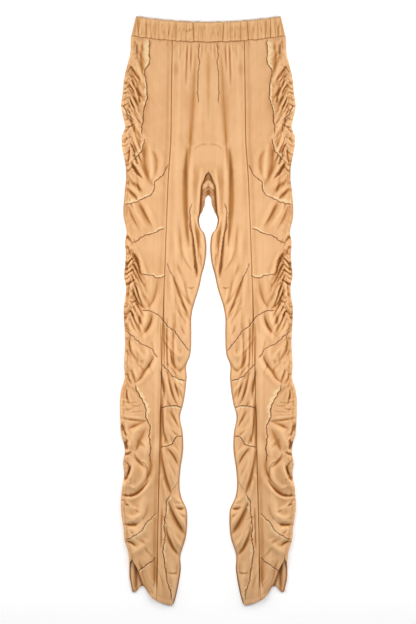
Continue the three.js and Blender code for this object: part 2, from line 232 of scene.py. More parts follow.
THIGH_FOLDS = [
    (155, 370, 147, 391, 139, 407, 5, -2.6), (134, 364, 123, 385, 109, 409, 5, -3.6),
    (147, 366, 136, 388, 122, 412, 5, 2.8), (126, 380, 112, 398, 98, 420, 6, 1.6),
    (161, 420, 156, 430, 150, 440, 3, -3.4), (41, 262, 44, 350, 38, 446, 5.5, -6.4),
    (36, 392, 28, 446, 21, 508, 2.4, -3.8), (26, 388, 17, 410, 7, 432, 3, 3.2),
    (9, 432, 7, 464, 14, 500, 4, 2.6), (25, 404, 20, 442, 18, 482, 5, -2.6),
    (31, 404, 26, 440, 23, 480, 2, 1.6), (16, 398, 9, 415, 5, 424, 3, -2.4),
    (40, 528, 34, 530, 28, 528, 1.6, -1.8), (38, 531, 36, 545, 33, 560, 2, 1.8),
    (66, 420, 62, 450, 64, 480, 6, 1.6), (57, 400, 54, 440, 50, 480, 5, -1.5),
    (30, 440, 26, 470, 22, 505, 6, -2.6), (13, 298, 18, 345, 20, 394, 3, 1.8),
    (158, 444, 154, 456, 150, 468, 3, -2.8), (16, 462, 13, 480, 12, 500, 4, -2.8),
]
KNEE_FOLDS = [
    (147, 458, 137, 483, 128, 512, 4, -5.4), (152, 470, 143, 500, 136, 520, 5, 3.2),
    (146, 528, 137, 555, 125, 569, 4, -5.4), (149, 512, 134, 543, 124, 566, 5, 3.6),
    (98, 512, 104, 546, 117, 568, 5, -2.6), (112, 500, 112, 530, 119, 556, 7, 1.8),
    (151, 510, 156, 540, 161, 566, 3, -3.2), (139, 474, 127, 500, 118, 516, 8, 1.8),
    (68, 508, 52, 552, 36, 590, 2.8, -3.6), (60, 500, 46, 534, 34, 562, 5, 2.4),
    (46, 520, 41, 545, 30, 566, 4, -3.0), (74, 470, 68, 553, 54, 627, 6, 2.0),
    (63, 540, 64, 580, 62, 612, 6, -1.8), (80, 590, 81, 640, 78, 690, 2.4, -2.8),
    (91.5, 600, 91.5, 650, 91, 704, 2, -2.2), (86, 590, 86, 640, 86, 690, 2, -2.6),
    (86, 540, 86, 600, 85, 660, 7, -2.4), (103, 560, 104, 680, 106, 800, 14, 2.4),
    (72, 575, 75, 640, 73, 700, 3.5, 1.8), (66, 600, 68, 650, 64, 700, 3, -2.2),
    (40, 590, 44, 620, 50, 645, 6, 2.0),
]
SHIN_FOLDS = [
    (153, 570, 144, 590, 134, 613, 4, -3.6), (131, 580, 134, 602, 131, 619, 4, -2.8),
    (109, 578, 114, 602, 130, 622, 5, -3.6), (121, 572, 122, 594, 127, 606, 5, 3.2),
    (146, 574, 141, 592, 136, 600, 4, 2.4), (160, 590, 158, 604, 153, 614, 3, -3.0),
    (151, 622, 153, 640, 148, 664, 4, -3.2), (137, 650, 137, 664, 137, 678, 7, -1.8),
    (105, 660, 116, 682, 131, 697, 5, -3.8), (142, 640, 133, 660, 128, 672, 7, 3.0),
    (122, 642, 118, 658, 122, 674, 6, 2.4), (150, 686, 146, 698, 141, 712, 3, -3.0),
    (124, 690, 131, 704, 143, 714, 4, -2.6), (160, 690, 156, 702, 152, 716, 3, -3.0),
    (76, 627, 71, 668, 60, 687, 4, -3.2), (60, 687, 52, 688, 43, 672, 4, -3.0),
    (66, 634, 58, 660, 49, 652, 7, 2.8), (80, 692, 70, 735, 61, 757, 2.8, -3.2),
    (66, 714, 61, 728, 57, 744, 2.6, -2.8), (58, 722, 53, 735, 50, 747, 2.6, -2.4),
    (93, 690, 88, 716, 84, 744, 4.5, -4.8), (82, 704, 77, 728, 72, 750, 4, 2.6),
]
CALF_FOLDS = [
    (159, 728, 158, 740, 155, 752, 2.2, -3.0), (165, 748, 152, 753, 140, 752, 1.5, -1.3),
    (150, 757, 141, 760, 131, 757, 1.3, -0.9), (167, 764, 156, 766, 146, 762, 1.5, -1.0),
    (161, 772, 150, 776, 143, 775, 1.4, 1.0), (148, 770, 138, 771, 127, 768, 1.2, -0.8),
    (170, 782, 145, 787, 120, 789, 1.8, -2.0), (166, 777, 145, 781, 126, 783, 2.4, 1.3),
    (123, 790, 142, 798, 156, 804, 5, -2.8),
    (168, 792, 166, 800, 167, 812, 3, -3.0), (123, 806, 134, 830, 141, 848, 6, -3.4),
    (136, 800, 146, 820, 150, 838, 8, 2.4), (112, 810, 118, 838, 124, 860, 7, 2.2),
    (159, 824, 159, 834, 158, 842, 3, -3.4), (162, 856, 156, 852, 150, 849, 2.5, -2.6),
    (145, 856, 135, 868, 119, 882, 3, -2.6), (152, 876, 156, 892, 163, 908, 3.2, -7.0),
    (144, 866, 147, 890, 150, 910, 7, 3.0), (74, 769, 65, 786, 56, 802, 2.8, -3.6),
    (92, 762, 88, 796, 82, 832, 4.5, -4.4),
    (166, 796, 163, 808, 160, 818, 3, -4.6), (160, 826, 158, 836, 157, 845, 3, -4.6),
    (84, 790, 72, 812, 62, 826, 6, 2.2), (89, 806, 84, 824, 88, 838, 4, -2.8),
    (79, 843, 68, 856, 57, 878, 2.6, -3.4), (72, 838, 60, 850, 52, 870, 4, 2.4),
    (92, 850, 83, 898, 72, 931, 3.2, -5.2), (82, 852, 74, 884, 64, 916, 6, 2.8),
    (86, 905, 84, 925, 80, 948, 3, 1.8),
    (98, 622, 101, 770, 103, 935, 6, 2.2), (121, 826, 124, 900, 128, 1000, 12, 2.2),
    (89, 740, 91, 800, 93, 890, 3.4, -4.6),
    (82, 700, 84, 780, 86, 850, 6, 2.0),
]
ANKLE_FOLDS = [
    (114, 860, 115, 892, 143, 930, 6, -3.8), (126, 930, 132, 980, 134, 1030, 12, 2.4),
    (127, 880, 128, 905, 152, 922, 8, 3.4),
    (117, 905, 140, 931, 165, 933, 2.8, -5.4),
    (163, 950, 158, 952, 154, 955, 2, -2.2), (158, 900, 160, 912, 166, 924, 6, 3.0),
    (163, 950, 150, 958, 138, 960, 6, 1.8), (162, 989, 149, 991, 137, 988, 4.2, -4.8),
    (138, 988, 126, 976, 118, 955, 6, -1.8), (160, 974, 140, 976, 128, 966, 7, 2.4),
    (159, 1022, 149, 1026, 140, 1033, 4, -3.6), (150, 1008, 140, 1012, 128, 1004, 7, 2.2),
    (150, 1045, 133, 1037, 114, 1018, 8, 2.0), (79, 944, 64, 980, 45, 1009, 3.6, -6.6),
    (68, 946, 54, 976, 43, 996, 6, 3.8), (82, 996, 74, 1026, 58, 1049, 2.8, -6.2),
    (76, 986, 62, 1020, 50, 1036, 7, 4.0), (64, 956, 55, 960, 45, 958, 2.0, -3.4),
    (60, 964, 52, 972, 44, 975, 2.2, -2.0), (62, 950, 55, 953, 47, 951, 2.4, 2.0),
    (76, 1084, 69, 1086, 61, 1084, 2.0, -2.2), (90, 960, 91, 1000, 92, 1036, 2.6, -2.6),
    (70, 930, 58, 944, 46, 942, 6, 3.0), (58, 900, 50, 918, 47, 934, 5, 2.2),
]
HEM_FOLDS = [
    (75, 1060, 68, 1099, 66, 1138, 7, 2.6), (98, 1052, 99, 1099, 97, 1138, 4, -2.6),
    (87, 1060, 83, 1100, 77, 1140, 6, 2.6),
    (136, 1092, 124, 1112, 112, 1130, 6, -3.0),
    (96, 1056, 96, 1090, 92, 1130, 6, 1.8), (120, 1052, 116, 1089, 108, 1123, 8, 2.2),
    (104, 1060, 104, 1094, 108, 1124, 4, -2.0), (130, 1066, 128, 1084, 122, 1106, 5, -1.8),
    (60, 1064, 60, 1078, 62, 1092, 5, -2.0),
]
FOLDS = HIP_FOLDS + THIGH_FOLDS + KNEE_FOLDS + SHIN_FOLDS + CALF_FOLDS + ANKLE_FOLDS + HEM_FOLDS

# %% [markdown]
# ## Gathers
# The side seams are sewn short with elastic thread, so the cloth stands up in small
# gathers that run down and away from the seam on both sides, like a herringbone, and die
# out. No two are alike, and a seeded random generator gives each its own length, slant
# and height. Under the waistband there are short pleats of the same kind.

# %% Strength of the ruching along the side seam
GATHER_STRENGTH = [
    (42, 0.15), (90, 0.35), (120, 0.8), (150, 1.0), (285, 1.0), (320, 0.35), (450, 0.25),
    (474, 1.0), (500, 1.0), (530, 0.6), (555, 0.9), (575, 1.0), (600, 0.5), (640, 0.35),
    (740, 0.25), (880, 0.25), (1000, 0.2), (1040, 0.1), (1060, 0.0), (1148, 0.0)]
GATHER_PITCH = 9.0


def ruched_folds(seed):
    chance = random.Random(seed)
    folds = []
    down = BAND_DEPTH + 8
    while down < SLIT_TOP - 12:
        strength = float(read(GATHER_STRENGTH, down))
        seam, out = float(side_seam(down)), float(outer_edge(down)) + 3
        height = chance.uniform(0.6, 2.8) * strength
        width = chance.uniform(1.8, 3.4)
        reach = chance.uniform(6, 26) * (0.5 + 0.5 * strength)
        foot = down + chance.uniform(1.0, 3.0) * reach
        top = seam + chance.uniform(-2, 3)
        bend = (top + seam - reach) / 2 + chance.uniform(-3, 3), (down + foot) / 2
        folds.append((top, down, *bend, seam - reach, foot, width, -height * 1.2))
        if chance.random() < 0.5:
            folds.append((top, down + 5, bend[0] + 3, bend[1] + 4, seam - reach + 4, foot + 2,
                          width * 0.9, height))
        fine = 0.75 if down < 290 else 1.0
        for _ in range(chance.choice((1, 2, 2))):
            start = seam + chance.uniform(-2, 3)
            drop = chance.uniform(3, 24) if down < 260 else chance.uniform(13, 36)
            begin = down + chance.uniform(-4, 4)
            folds.append((start, begin, (start + out) / 2, begin + drop * 0.4, out, begin + drop,
                          fine * chance.uniform(1.3, 2.4),
                          -height * fine * chance.uniform(0.6, 1.5)))
        down += GATHER_PITCH * chance.uniform(0.4, 1.6)
    return folds


WAIST_PUCKERS = [(4, 22), (11, 34), (19, 16), (33, 60), (41, 84), (47, 24), (53, 38), (65, 20),
                 (79, 14), (94, 10), (110, 20), (127, 36), (137, 44), (143, 30)]


def waist_folds():
    folds = []
    for place, length in WAIST_PUCKERS:
        top = float(band_foot(place)) - 2
        depth = 0.5 + length / 60
        folds.append((place, top, place + 1, top + length / 2, place + 2, top + length,
                      2.4, -depth))
        folds.append((place + 4, top, place + 4, top + length / 3, place + 5, top + length * 0.7,
                      2.6, 0.7 * depth))
    return folds


# %% [markdown]
# Between the large folds the real cloth has many small creases that nobody would place
# one by one. Each row below is a zone with how many it holds, their slope, and how long
# they are. The generator is seeded, so they come out the same in every run.

# %% Small creases by zone: d from and to, down from and to, count, slope, length
CREASE_ZONES = [
    (130, 160, 70, 330, 34, 2.4, 30), (136, 160, 330, 460, 12, 1.6, 24),
    (128, 160, 460, 730, 46, 2.2, 28), (124, 166, 730, 1040, 14, 0.7, 26),
    (100, 128, 500, 700, 8, 2.8, 36), (40, 76, 470, 700, 14, 2.0, 38),
    (52, 84, 700, 1040, 18, 1.6, 34), (12, 34, 380, 480, 6, 3.6, 34),
    (104, 140, 1040, 1100, 5, 2.0, 24), (70, 98, 1050, 1120, 4, 4.0, 34),
]


def small_creases(seed):
    chance = random.Random(seed)
    folds = []
    for low, high, top, foot, count, slope, length in CREASE_ZONES:
        for _ in range(count):
            d, down = chance.uniform(low, high), chance.uniform(top, foot)
            run = length * chance.uniform(0.5, 1.3)
            angle = math.atan(slope * chance.uniform(0.5, 1.8))
            half_d, half_down = run / 2 * math.cos(angle), run / 2 * math.sin(angle)
            bow = run * chance.uniform(-0.12, 0.12)
            height = chance.choice((-1, -1, 1)) * chance.uniform(0.5, 1.5)
            folds.append((d + half_d, down - half_down, d + bow, down, d - half_d, down + half_down,
                          chance.uniform(1.8, 3.6), height))
    return folds


ALL_FOLDS = FOLDS + ruched_folds(11) + waist_folds() + small_creases(5)
print("folds:", len(FOLDS), "small ones:", len(ALL_FOLDS) - len(FOLDS))

# %% [markdown]
# A fold's height at a point depends on how far the point is from its curve and how far
# along the curve it is. A ridge is round. A trough is a thin deep crease: the cloth on
# its inner side stands up in a lip that laps over it, and the cloth on its outer side
# comes up slowly. The line at its bottom is kept too, as "pressed", for the material to
# paint as shade. Each fold only looks at the points near it, which keeps the work small.

# %% Height of the folds
CURVE_STEPS = 8
FOLD_REACH = 3.6  # a fold acts within this many of its widths


def curve_points(fold):
    t = np.linspace(0, 1, CURVE_STEPS + 1)[:, None]
    a, middle, c = (np.array(fold[k:k + 2], float) for k in (0, 2, 4))
    bend = 2 * middle - (a + c) / 2
    return (1 - t) ** 2 * a + 2 * t * (1 - t) * bend + t**2 * c


def nearest_on(points, d, down):
    away = np.full(d.shape, 1e9)
    along = np.zeros(d.shape)
    side = np.ones(d.shape)
    for k in range(len(points) - 1):
        (ax, ay), (bx, by) = points[k], points[k + 1]
        ux, uy = bx - ax, by - ay
        t = np.clip(((d - ax) * ux + (down - ay) * uy) / (ux * ux + uy * uy), 0, 1)
        ox, oy = d - ax - t * ux, down - ay - t * uy
        far = np.hypot(ox, oy)
        closer = far < away
        away = np.where(closer, far, away)
        along = np.where(closer, (k + t) / (len(points) - 1), along)
        side = np.where(closer, np.sign(ux * oy - uy * ox), side)
    return away, along, side


def fold_fields(folds, d, down):
    total = np.zeros(d.shape)
    pressed = np.zeros(d.shape)
    for fold in folds:
        points = curve_points(fold)
        width, height = fold[6], fold[7]
        reach = FOLD_REACH * width
        near = ((d > points[:, 0].min() - reach) & (d < points[:, 0].max() + reach)
                & (down > points[:, 1].min() - reach) & (down < points[:, 1].max() + reach))
        if not near.any():
            continue
        away, along, side = nearest_on(points, d[near], down[near])
        fade = np.sin(math.pi * np.clip(along * 0.9 + 0.05, 0, 1)) ** 0.8
        if height > 0:
            profile = bell(away, 0.85 * width, 1.7)
        else:
            crease = bell(away, 0.5 * width, 1.3)
            valley = bell(away, 1.5 * width) * np.where(side < 0, 1, 0.55)
            lip = bell(away - 1.7 * width, width) * np.where(side < 0, 0.05, 0.3)
            profile = 0.5 * crease + 0.5 * valley - lip
            line = bell(away, 0.3 * width + 0.5, 1.4)
            pressed[near] = np.maximum(pressed[near], -height * fade * line)
        total[near] += height * fade * profile
    return total, pressed


# %% [markdown]
# The front's height adds these folds to a slow rise and fall of the cloth, a raised
# felled seam, and a fine crimp where the elastic thread runs.

# %% Height of the front cloth
FRONT_REST = 2 * CLOTH + GAP
PUFF, SIDE_RISE, SIDE_RISE_REACH = 2.4, 3.2, 16.0
SEAM_RIDGE, SEAM_RIDGE_REACH = 1.1, 5.0
CRIMP, CRIMP_REACH = 3.0, 9.0
LATTICE = 64
AT_BAND = 5.4, 6.5  # lowest and highest cloth where it is sewn to the band


def uneven_creases(across, along, seed):
    lattice = np.random.default_rng(seed).random((LATTICE, LATTICE))
    i, j = np.floor(across).astype(int), np.floor(along).astype(int)
    u, v = ease(0, 1, across - i), ease(0, 1, along - j)
    (i, j), (after_i, after_j) = (i % LATTICE, j % LATTICE), ((i + 1) % LATTICE, (j + 1) % LATTICE)
    low = mix(lattice[i, j], lattice[after_i, j], u)
    high = mix(lattice[i, after_j], lattice[after_i, after_j], u)
    return np.minimum(np.abs(2 * mix(low, high, v) - 1), 0.6) ** 0.7 - 0.42


def crimp_height(d, down):
    inward = side_seam(down) - d
    from_seam = np.sqrt(inward**2 + 4)
    slant = np.radians(mix(44, 62, ease(300, 440, down)) + 10 * np.sin(down / 31))
    across = down * np.cos(slant) - from_seam * np.sin(slant)
    along = down * np.sin(slant) + from_seam * np.cos(slant)
    side = np.where(inward > 0, 0, 31)
    coarser = np.where(inward > 0, 1.0, 1.25)
    rough = uneven_creases(across / (3.4 * coarser) + side, along / 17, 3) + 0.6 * uneven_creases(
        across / (1.9 * coarser) + side, along / 8, 4)
    reach = CRIMP_REACH * (1 + 0.35 * np.sin(down / 15 + 0.7))
    strength = read(GATHER_STRENGTH, down) * np.where(inward > 0, 1.0, 0.6)
    return CRIMP * strength * rough * bell(inward, reach)


def edge_ruche(down):
    fine = uneven_creases(down / 4.3, down / 40, 5)
    return 0.45 * fine + 0.8 * uneven_creases(down / 9, down / 50, 6)


def slow_wave(d, down):
    return (0.5 * np.sin(d / 19 + down / 83 + 1.1) + 0.4 * np.sin(d / 31 - down / 47)
            + 0.25 * np.sin(d / 11 + down / 29 + 2)
            + 0.12 * np.sin(d / 4.7 + 1.5 * np.sin(down / 13)) * np.sin(down / 6.1 + d / 9))


FOLD_LIFT = 1.25  # the shell's folds are a little fuller than the solid's


def front_fold(d, down):
    folds, pressed = fold_fields(ALL_FOLDS, d, down)
    return FOLD_LIFT * folds + crimp_height(d, down), pressed


def front_height(d, down, folds=None):
    folds = front_fold(d, down)[0] if folds is None else folds
    folds = folds * (1 - 0.8 * ease(13, 1, down - band_foot(d)))
    inward = side_seam(down) - d
    from_seam = d - front_seam(down)
    rise = PUFF + SIDE_RISE * bell(inward, SIDE_RISE_REACH)
    rise = rise + SEAM_RIDGE * bell(from_seam, SEAM_RIDGE_REACH)
    rise = rise + slow_wave(d, down) + folds
    z = FRONT_REST + (rise + np.hypot(rise, 1.0)) / 2
    return mix(z, np.clip(z, *AT_BAND), ease(14, 0, down - band_foot(d)))


# %% [markdown]
# ## The printed veins
# The print is a common marble-like veining: thin dark lines that wander across the
# cloth, each with a pale glow along one side. The lines follow those in the photo: each
# has a few points set along the photo's line, and a small wander by formula. Every point
# of a panel stores its distance to the nearest line, and the material draws the line
# from that distance, so the line stays sharp however coarse the grid is.

# %% Lay out the veins: points (d, down), glow widths along it, its side and its strength
VEINS = [
    ([(116, 40), (116, 94), (122, 108), (119, 150), (126, 180), (128, 236)],
     (9, 12, 9, 1, 6, 7, 3, 1, 1), -1, 1.0),
    ([(18, 50), (17, 92), (22, 126), (19, 172)], (1, 2, 1), -1, 0.8),
    ([(166, 174), (158, 190), (149, 204)], (8, 5, 2), -1, 0.9),
    ([(124, 238), (127, 258), (135, 270), (145, 282)], (2, 6, 7, 4), -1, 0.9),
    ([(76, 288), (92, 312), (104, 322), (112, 350), (130, 358), (156, 367), (165, 366)],
     (1, 4, 10), -1, 0.9),
    ([(84, 414), (97, 417), (113, 427), (131, 432), (150, 445)], (6, 4, 2, 1), -1, 0.9),
    ([(82, 504), (98, 510), (112, 504), (130, 501)], (6, 5, 3), -1, 0.9),
    ([(132, 576), (108, 575), (92, 586), (78, 604), (56, 628), (42, 648), (33, 652)],
     (1, 3, 2), -1, 0.95),
    ([(80, 480), (73, 500), (62, 528)], (1, 2, 1), 1, 0.7),
    ([(32, 362), (36, 384), (34, 410), (29, 436), (27, 478), (22, 503)], (3, 1, 1), -1, 0.9),
    ([(161, 609), (153, 617), (138, 634), (125, 642), (113, 648), (105, 658), (96, 665)],
     (1, 3, 1), -1, 0.9),
    ([(92, 678), (81, 689), (71, 699), (56, 706), (43, 710)], (2, 3, 1, 6, 9), -1, 0.95),
    ([(142, 714), (140, 727), (132, 741), (128, 752), (124, 763), (121, 782), (114, 799),
      (113, 824), (113, 850), (115, 872)], (5, 10, 9, 6, 3, 1, 1, 1), 1, 1.0),
    ([(92, 766), (72, 760), (62, 759), (48, 765)], (2, 4, 8), -1, 1.0),
    ([(93, 841), (84, 836), (72, 832), (66, 825), (62, 821), (50, 820)], (2, 4, 3), 1, 1.0),
    ([(146, 852), (133, 867), (121, 877), (117, 892), (118, 902)], (1, 2, 1), 1, 0.5),
    ([(164, 864), (157, 868), (151, 880)], (4, 2, 1), -1, 0.8),
    ([(162, 1020), (140, 1012), (124, 992), (102, 966)], (3, 6, 3), -1, 0.85),
    ([(137, 1081), (129, 1074), (115, 1064), (101, 1054)], (5, 3, 1), -1, 0.95),
    ([(72, 926), (81, 943), (83, 968), (84, 1000), (85, 1024), (90, 1043), (86, 1060), (84, 1074),
      (80, 1092), (75, 1112), (70, 1142)], (5, 7, -2, -6, 7, 5, 1, 4, 8), 1, 0.95),
    ([(73, 930), (66, 914), (55, 902)], (3, 4, 2), 1, 0.4),
]
VEIN_REACH = 22.0
VEIN_STEP = 4  # between the points of a vein's path
VEIN_END = 0.06  # share of its length over which a vein fades at each end


def vein_path(points, number):
    chance = np.random.default_rng(number + 1)
    points = np.array(points, float)
    length = np.r_[0, np.cumsum(np.hypot(*np.diff(points, axis=0).T))]
    s = np.linspace(0, length[-1], max(4, int(length[-1] / VEIN_STEP)))
    path = np.stack([read(np.stack([length, points[:, k]], 1), s) for k in (0, 1)], 1)
    along = np.gradient(path, axis=0)
    across = np.stack([-along[:, 1], along[:, 0]], 1) / np.hypot(*along.T)[:, None]
    wander = (0.9 * np.sin(s / 6.1 + number) + 1.3 * np.sin(s / 17 + 3 * number)
              + chance.uniform(-1.1, 1.1, len(s)))
    return path + across * wander[:, None]


VEIN_PATHS = [(vein_path(row[0], i), *row[1:]) for i, row in enumerate(VEINS)]
print("veins:", len(VEIN_PATHS))


# %% Distance to the nearest vein, its strength and the width of its glow
def vein_values(d, down):
    first, second = np.full(d.shape, 1e3), np.full(d.shape, 1e3)
    offset = np.full(d.shape, VEIN_REACH)
    ink, glow = np.zeros(d.shape), np.zeros(d.shape)
    for path, glows, glow_side, strength in VEIN_PATHS:
        low, high = path.min(0) - VEIN_REACH, path.max(0) + VEIN_REACH
        near = np.flatnonzero((d > low[0]) & (d < high[0]) & (down > low[1]) & (down < high[1]))
        if not len(near):
            continue
        away, along, side = nearest_on(path, d[near], down[near])
        closer = away < first[near]
        second[near] = np.where(closer, first[near], np.minimum(second[near], away))
        picked = near[closer]
        first[picked] = away[closer]
        ends = ease(0.0, VEIN_END, along[closer]) * ease(1.0, 1 - VEIN_END, along[closer])
        width = np.interp(along[closer], np.linspace(0.03, 0.97, len(glows)), glows)
        offset[picked] = away[closer] * side[closer] * glow_side * np.where(width < 0, -1, 1)
        ink[picked] = strength * ends * ease(VEIN_REACH, VEIN_REACH - 6, away[closer])
        glow[picked] = ends * np.abs(width)
    ink *= ease(0.0, 4.0, second - first)
    return offset, ink, glow


# %% [markdown]
# ## One way to make every panel
# A panel starts as a flat grid from a bmesh operator. Its points are then moved to
# where the panel's own rule puts them, and a Solidify modifier gives the thickness. The
# values that the material needs, such as the distance to a vein, are stored on the
# points, and the UV map holds the cloth's own coordinates in metres. The left and right
# panels are mirror images, so one set of values serves both.

# %% Work out the points of a panel
# Faces across and along each grid
GRIDS = {"front_side": (60, 720), "front_centre": (46, 620), "back": (48, 860),
         "waistband": (620, 18)}
# Painted shade for each mm the cloth lies below its surroundings, painted highlight for each mm
# above
PAINTED_SHADE_GAIN, PAINTED_LIGHT_GAIN = 0.75, 0.9  # shade or light for each mm below or above its surroundings


def smoothed(field, cells=4):
    weights = np.exp(-np.arange(-2 * cells, 2 * cells + 1) ** 2 / (2 * (0.6 * cells) ** 2))
    weights /= weights.sum()
    for axis in (0, 1):
        pad = [(0, 0), (0, 0)]
        pad[axis] = (2 * cells, 2 * cells)
        wide = np.pad(field, pad, mode="edge")
        size = field.shape[axis]
        field = sum(w * np.take(wide, range(k, k + size), axis=axis) for k, w in enumerate(weights))
    return field


def shape_of(part, rule):
    columns, rows = GRIDS[part]
    along, across = np.mgrid[0:rows + 1, 0:columns + 1]
    shape = rule((across / columns).ravel(), (along / rows).ravel())
    z = shape["z"].reshape(rows + 1, columns + 1)
    # Painted shade where the cloth lies below its smoothed surroundings, and a painted highlight
    # where it stands above them
    below = (smoothed(z) - z).ravel()
    shape["hollow"] = np.clip(shape["hollow"] + PAINTED_SHADE_GAIN * np.clip(below, -0.3, 2.4), 0, 2)
    shape["crest"] = np.clip(shape.get("crest", 0) - PAINTED_LIGHT_GAIN * below, 0, 1)
    return columns, rows, shape


# %% Make a sheet from those points
sheets = {}


def fetch(items, key, width=1, kind=float):
    values = np.empty(len(items) * width, kind)
    items.foreach_get(key, values)
    return values


def make_sheet(name, worked_out, side, up, outside, inside, thickness=SHEET):
    columns, rows, shape = worked_out
    bm = bmesh.new()
    bmesh.ops.create_grid(bm, x_segments=columns, y_segments=rows, size=0.5)
    mesh = bpy.data.meshes.new(name)
    bm.to_mesh(mesh)
    bm.free()
    grid = fetch(mesh.vertices, "co", 3).reshape(-1, 3)
    column = np.rint((grid[:, 0] + 0.5) * columns).astype(int)
    row = np.rint((0.5 - grid[:, 1]) * rows).astype(int)
    values = {key: np.asarray(item)[row * (columns + 1) + column] for key, item in shape.items()}
    d, down, z = values.pop("d"), values.pop("down"), values.pop("z")
    place = np.stack([side * d, LENGTH / 2 - down, z], 1) / 1000
    mesh.vertices.foreach_set("co", place.ravel())
    uv = np.stack([side * values.pop("cloth_across", d), down], 1) / 1000
    loops = fetch(mesh.loops, "vertex_index", kind=int)
    mesh.uv_layers.new(name="cloth").uv.foreach_set("vector", uv[loops].ravel())
    for key, item in values.items():
        attribute = mesh.attributes.new(key, "FLOAT", "POINT")
        attribute.data.foreach_set("value", np.asarray(item, np.float32))
    mesh.update()
    normals = fetch(mesh.polygons, "normal", 3).reshape(-1, 3)
    if normals[:, 2].sum() * up < 0:
        mesh.flip_normals()
    mesh.shade_smooth()
    mesh.materials.append(outside)
    mesh.materials.append(inside)
    piece = put(name, mesh)
    solid = piece.modifiers.new("thickness", "SOLIDIFY")
    solid.thickness = thickness / 1000
    solid.offset = -1
    solid.material_offset = 1
    solid.material_offset_rim = 0
    print(name, len(mesh.polygons), "faces before its thickness")
    return piece


def make_pair(part, rule, up, outside):
    worked_out = shape_of(part, rule)
    for hand, side in HANDS:
        node = f"{part}_{hand}"
        sheets[node] = make_sheet(f"cloth_{node}", worked_out, side, up, outside, INSIDE_JERSEY)


# %% [markdown]
# ## The cloth's colour, print and painted shade
# The cloth is a smooth, fine jersey: a warm nude with a soft sheen. Shade is painted into
# its colour, deeper and more orange down in the folds, and a painted highlight makes it
# paler over the ridges. The veins are drawn from the stored distance: a thin dark line
# where it is near zero, and a pale glow on its positive side. A fine rib of wales and a
# little fibre noise give the surface its touch through bump. The wrong side has a painted
# shade of its own, deep inside the garment.
# Part of the shade in the photo is painted into the colour, beside what the lights give.

# %% Helpers for material nodes
def new_material(name):
    material = bpy.data.materials.new(name)
    material.use_nodes = True
    tree = material.node_tree
    return material, tree, tree.nodes["Principled BSDF"]


def set_inputs(tree, node, inputs):
    for key, item in inputs.items():
        socket = node.inputs[key]
        if isinstance(item, (int, float)):
            socket.default_value = item
        elif isinstance(item, tuple):
            socket.default_value = (*item, 1)[:len(socket.default_value)]
        else:
            tree.links.new(item, socket)


def new_node(tree, kind, inputs, **settings):
    node = tree.nodes.new("ShaderNode" + kind)
    for key, value in settings.items():
        setattr(node, key, value)
    set_inputs(tree, node, inputs)
    return node


def math_node(tree, operation, *parts, clamp=False):
    while len(parts) > 2:
        parts = (math_node(tree, operation, *parts[:2]), *parts[2:])
    node = new_node(tree, "Math", dict(enumerate(parts)), operation=operation, use_clamp=clamp)
    return node.outputs[0]


def plus(tree, *parts, clamp=False):
    return math_node(tree, "ADD", *parts, clamp=clamp)


def times(tree, *parts, clamp=False):
    return math_node(tree, "MULTIPLY", *parts, clamp=clamp)


def band_node(tree, value, low, high, start, end):
    inputs = dict(enumerate((value, low, high, start, end)))
    return new_node(tree, "MapRange", inputs, interpolation_type="SMOOTHSTEP").outputs[0]


def stored(tree, name):
    return new_node(tree, "Attribute", {}, attribute_name=name).outputs["Fac"]


def mix_colour(tree, share, a, b):
    return new_node(tree, "Mix", {0: share, 6: a, 7: b}, data_type="RGBA").outputs[2]


def noise_node(tree, where, scale, detail=2.0):
    inputs = {"Vector": where, "Scale": scale, "Detail": detail}
    return new_node(tree, "TexNoise", inputs).outputs["Fac"]


def rib_node(tree, where, direction, period):
    inputs = {"Vector": where, "Scale": 0.314 / period, "Distortion": 0.6, "Detail Scale": 3.0}
    return new_node(tree, "TexWave", inputs, bands_direction=direction).outputs["Fac"]


def linear(red, green, blue):
    return tuple(((c / 255 + 0.055) / 1.055) ** 2.4 for c in (red, green, blue))


# %% Printed stretch jersey
INK = linear(112, 50, 4)
GLOW = linear(224, 194, 146)
# Colour of the painted highlight on ridges
PAINTED_HIGHLIGHT = linear(237, 194, 144)
# Colour of the painted shade deep in creases
PAINTED_DEEP_SHADE = linear(124, 68, 18)
CLOUDS, PATCHES, FRAY, FIBRE = 16, 110, 330, 2600  # scales of noise, for each metre
STREAKS = (240, 9, 1)  # streaks run down the cloth: scale across, down and through
CORE, SOFT_EDGE = 0.5, 1.6  # a vein's dark core and soft edge, in mm from its middle


def vein_looks(tree, where, colour):
    ink = stored(tree, "vein_ink")
    rough = noise_node(tree, where, FRAY)
    wander = times(tree, math_node(tree, "SUBTRACT", rough, 0.5), 2.4)
    offset = plus(tree, stored(tree, "vein_offset"), wander)
    patchy = band_node(tree, noise_node(tree, where, PATCHES, 3), 0.36, 0.6, 0.5, 1.25)
    wide = times(tree, stored(tree, "vein_glow"), patchy)
    inner = band_node(tree, offset, 0.2, 1.3, 0.0, 1.0)
    outer = band_node(tree, offset, times(tree, wide, 0.55), wide, 1.0, 0.0)
    glow = times(tree, inner, outer, ink, band_node(tree, rough, 0.3, 0.55, 0.7, 1.0))
    colour = mix_colour(tree, glow, colour, GLOW)
    line = band_node(tree, math_node(tree, "ABSOLUTE", offset), CORE, SOFT_EDGE, 1.0, 0.0)
    line = times(tree, line, ink, band_node(tree, patchy, 0.2, 0.9, 0.7, 1.0))
    return mix_colour(tree, line, colour, INK)


def knit_bump(tree, where, rib):
    wales = times(tree, rib_node(tree, where, "X", rib), 0.6)
    courses = times(tree, rib_node(tree, where, "Y", rib * 0.8), 0.25)
    relief = plus(tree, wales, courses, times(tree, noise_node(tree, where, FIBRE), 0.4))
    bump = new_node(tree, "Bump", {"Height": relief, "Strength": 0.35, "Distance": 0.0002})
    return bump.outputs["Normal"]


